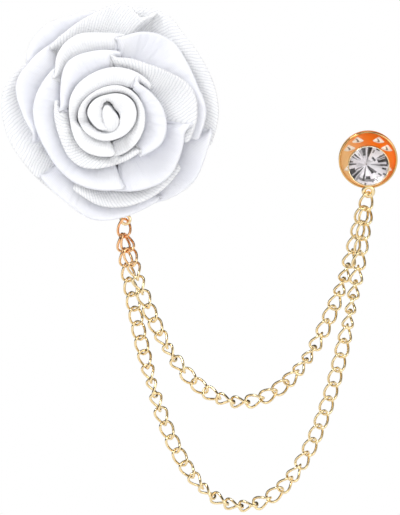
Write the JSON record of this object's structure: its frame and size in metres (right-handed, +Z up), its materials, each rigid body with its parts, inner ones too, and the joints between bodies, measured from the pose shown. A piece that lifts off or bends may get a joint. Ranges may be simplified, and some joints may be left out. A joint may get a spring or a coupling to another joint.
{
  "type": "lapel chain",
  "caption": "Folded ribbon rose brooch with a bar pin, joined by two hanging chains of twisted links to a crystal stud pin with a pinched clutch.",
  "frame": {"origin": "middle of the bar pin behind the rose, where the brooch is held to cloth", "axes": "+X across to the stud, +Z up, -Y towards the viewer; the rose faces -Y"},
  "size_m": [0.0798, 0.0272, 0.1021],
  "materials": {
    "satin": "smooth satin ribbon, cool white",
    "grosgrain": "ribbed ribbon, off-white, matt",
    "gold": "bright pale gold plating",
    "deep_gold": "bright yellow brass plating",
    "crystal": "cut clear stone with a foil back"
  },
  "bodies": {
    "main": {"heart_lobe_1": "satin", "heart_lobe_2": "satin", "fold_rim_upper_left": "satin", "fold_rim_left": "grosgrain", "fold_rim_bottom": "satin", "fold_rim_lower_right": "satin", "fold_rim_right": "grosgrain", "fold_rim_top": "grosgrain", "fold_upper_left": "satin", "fold_lower": "grosgrain", "fold_upper_right": "satin", "fold_top": "grosgrain", "fold_left": "satin", "fold_lower_right": "satin", "fold_right": "grosgrain", "fold_inner_top": "satin", "fold_inner_left": "grosgrain", "fold_inner_right": "satin", "fold_bud_outer": "grosgrain", "fold_bud_middle": "grosgrain", "fold_bud_inner": "grosgrain", "brooch_back": "gold", "left_ring": "gold", "outer_chain": "gold", "inner_chain": "gold", "right_ring": "gold", "stud_setting": "gold", "stone": "crystal"},
    "clutch": {"clutch_dish": "deep_gold", "clutch_wings": "deep_gold"}
  },
  "joints": [
    {"name": "clutch_slide", "type": "slide", "parent": "main", "child": "clutch", "axis": [0, 0.9613, 0.2756], "range_m": [0, 0.003]}
  ]
}
